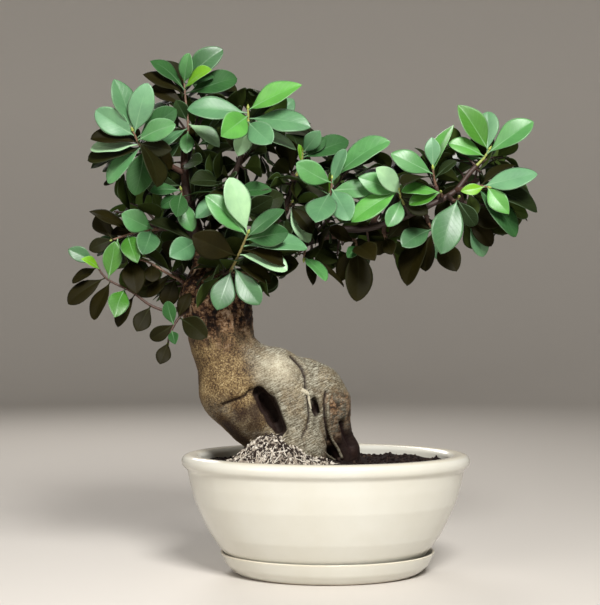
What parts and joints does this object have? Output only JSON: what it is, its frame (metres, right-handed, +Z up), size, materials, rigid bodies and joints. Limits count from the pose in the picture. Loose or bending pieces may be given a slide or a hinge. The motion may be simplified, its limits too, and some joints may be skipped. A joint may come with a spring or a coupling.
{
  "type": "bonsai tree in a pot",
  "caption": "Ginseng-type fig bonsai with a swollen trunk on root legs and glossy oval leaves, in an oval glazed bowl with soil, on a matching drip saucer.",
  "frame": {"origin": "middle of the saucer's flat underside, on the surface that the saucer stands on", "axes": "+Z up through the pot, +X to the right of someone facing the tree's front, +Y away from them"},
  "size_m": [0.4617, 0.2413, 0.5215],
  "materials": {
    "glaze": "gloss",
    "soil": "matte",
    "root_fibre": "matte",
    "bark": "matte",
    "leaf": "satin"
  },
  "bodies": {
    "root": {"back_centre": "leaf", "back_left": "leaf", "back_left_low": "leaf", "back_low": "leaf", "back_middle": "leaf", "back_right": "leaf", "back_right_inner": "leaf", "back_right_of_middle": "leaf", "back_right_tip": "leaf", "back_top": "leaf", "back_upper_left": "leaf", "back_upper_middle": "leaf", "pot": "glaze", "root_mat": "root_fibre", "saucer": "glaze", "shoot_centre": "leaf", "shoot_front": "leaf", "shoot_hanging": "leaf", "shoot_hanging_inner": "leaf", "shoot_hanging_outer": "leaf", "shoot_left": "leaf", "shoot_left_inner": "leaf", "shoot_left_low": "leaf", "shoot_left_of_middle": "leaf", "shoot_middle": "leaf", "shoot_right_behind": "leaf", "shoot_right_first": "leaf", "shoot_right_front": "leaf", "shoot_right_inner": "leaf", "shoot_right_low": "leaf", "shoot_right_of_middle": "leaf", "shoot_right_tip": "leaf", "shoot_right_under": "leaf", "shoot_right_upper": "leaf", "shoot_top": "leaf", "shoot_upper_left": "leaf", "shoot_upper_middle": "leaf", "soil": "soil", "spray_behind": "leaf", "spray_drooping": "leaf", "spray_low": "leaf", "trunk": "bark"}
  },
  "joints": []
}
